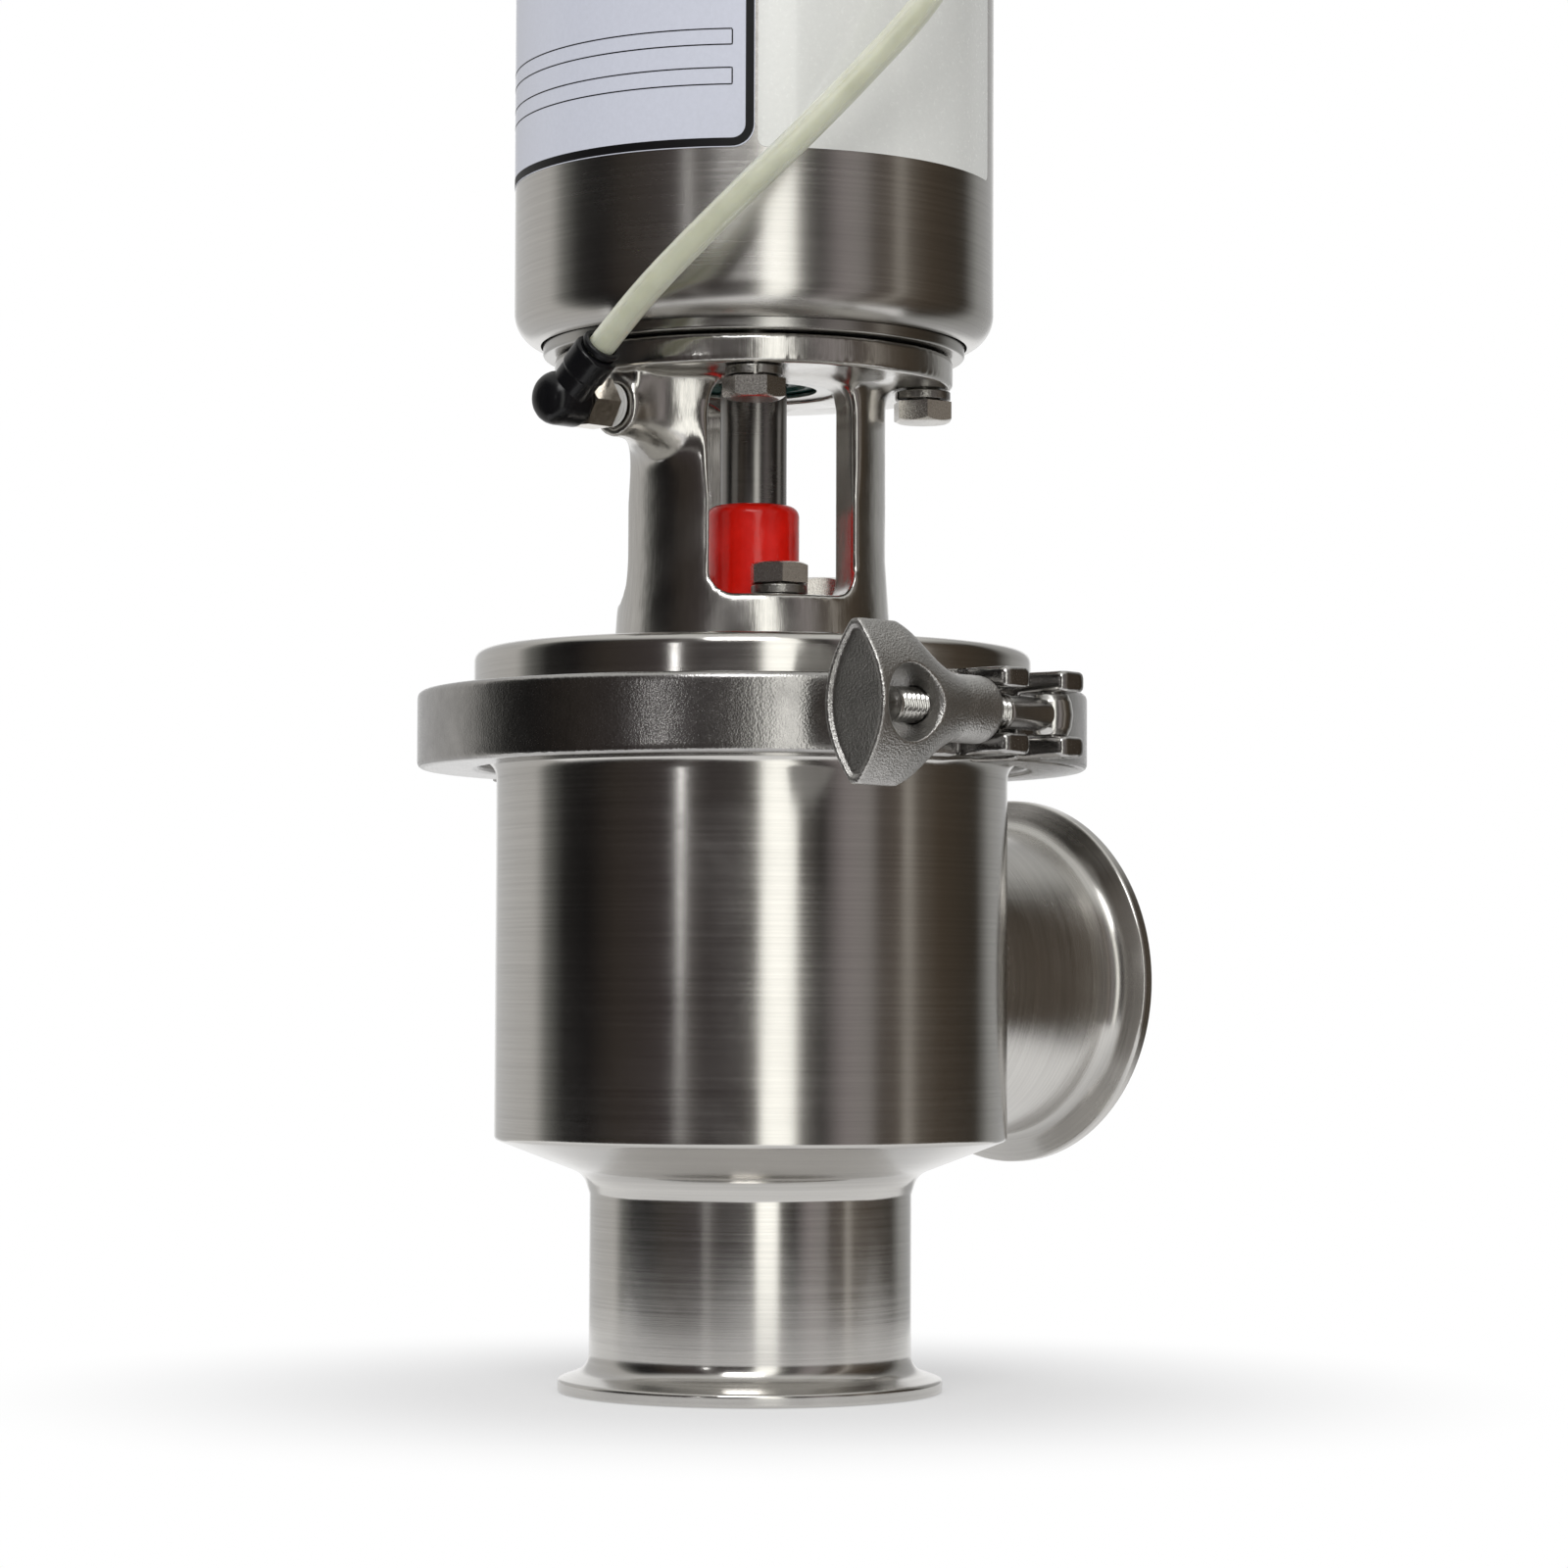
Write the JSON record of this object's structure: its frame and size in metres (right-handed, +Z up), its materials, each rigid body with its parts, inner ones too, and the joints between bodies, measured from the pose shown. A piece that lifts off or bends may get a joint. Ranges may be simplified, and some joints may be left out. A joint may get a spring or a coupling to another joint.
{
  "type": "sanitary seat valve",
  "caption": "Air-operated sanitary seat valve with a port below and one at the side, a clamped bonnet, an open yoke and a spring-return air cylinder.",
  "frame": {"origin": "on the valve's axis, in the face of the bottom port's ferrule", "axes": "+Z up along the valve's axis from the bottom port to the air cylinder, +X out of the side port, -Y towards the clamp's bolt"},
  "size_m": [0.1733, 0.1851, 0.4863],
  "materials": {
    "polished_steel": "fine turned stainless steel",
    "cast_steel": "tumbled cast stainless steel",
    "screw_steel": "machined stainless steel",
    "spring_steel": "satin spring steel",
    "nickel_brass": "nickel-plated brass",
    "black_plastic": "moulded",
    "red_vinyl": "dipped vinyl",
    "green_plastic": "moulded",
    "white_plastic": "machined",
    "nylon": "extruded, translucent",
    "black_rubber": "moulded"
  },
  "bodies": {
    "valve": {"body_shell": "polished_steel", "bonnet": "polished_steel", "yoke": "polished_steel", "actuator_cylinder": "polished_steel", "clamp_half_nut_side": "cast_steel", "clamp_half_bolt_side": "cast_steel", "clamp_bolt_pin": "screw_steel", "clamp_hinge_pin": "screw_steel", "lower_head": "screw_steel", "top_head": "screw_steel", "spring_guide": "screw_steel", "bonnet_screw_1": "screw_steel", "bonnet_screw_2": "screw_steel", "bonnet_screw_3": "screw_steel", "bonnet_lock_washer_1": "screw_steel", "bonnet_lock_washer_2": "screw_steel", "bonnet_lock_washer_3": "screw_steel", "flange_screw_1": "screw_steel", "flange_screw_2": "screw_steel", "flange_screw_3": "screw_steel", "flange_screw_4": "screw_steel", "flange_lock_washer_1": "screw_steel", "flange_lock_washer_2": "screw_steel", "flange_lock_washer_3": "screw_steel", "flange_lock_washer_4": "screw_steel", "return_spring": "spring_steel", "snap_ring": "spring_steel", "wiper_ring": "spring_steel", "lower_connector": "nickel_brass", "upper_connector": "nickel_brass", "vent_breather": "nickel_brass", "lower_elbow": "black_plastic", "upper_elbow": "black_plastic", "lower_collar": "black_plastic", "upper_collar": "black_plastic", "rod_wiper": "green_plastic", "stem_bushing": "white_plastic", "rod_bushing": "white_plastic", "lower_thread_tape": "white_plastic", "upper_thread_tape": "white_plastic", "air_tube": "nylon", "body_gasket": "black_rubber", "stem_seal": "black_rubber", "rod_seal": "black_rubber", "lower_head_seal": "black_rubber", "top_head_seal": "black_rubber"},
    "stem": {"valve_plug": "polished_steel", "plug_seal": "white_plastic", "plug_cap": "polished_steel", "valve_stem": "polished_steel", "coupling_nut": "screw_steel", "coupling_cap": "red_vinyl", "actuator_rod": "polished_steel", "piston": "screw_steel", "piston_seal": "black_rubber", "piston_guide_ring": "white_plastic", "piston_nut": "screw_steel"},
    "clamp_bolt": {"clamp_eyebolt": "screw_steel"},
    "wing_nut": {"wing_nut": "cast_steel"}
  },
  "joints": [
    {"name": "stem_lift", "type": "slide", "parent": "valve", "child": "stem", "axis": [0, 0, 1], "range_m": [0, 0.025], "stiffness_N_per_m": 5000, "springref_m": -0.03, "deforming": ["return_spring"]},
    {"name": "clamp_bolt_swing", "type": "hinge", "parent": "valve", "child": "clamp_bolt", "pos_m": [0.009, -0.0863, 0.1565], "axis": [0, 0, 1], "range_deg": [0, 100]},
    {"name": "wing_nut_spin", "type": "hinge", "parent": "clamp_bolt", "child": "wing_nut", "pos_m": [-0.035, -0.0863, 0.1565], "axis": [1, 0, 0], "continuous": true}
  ]
}
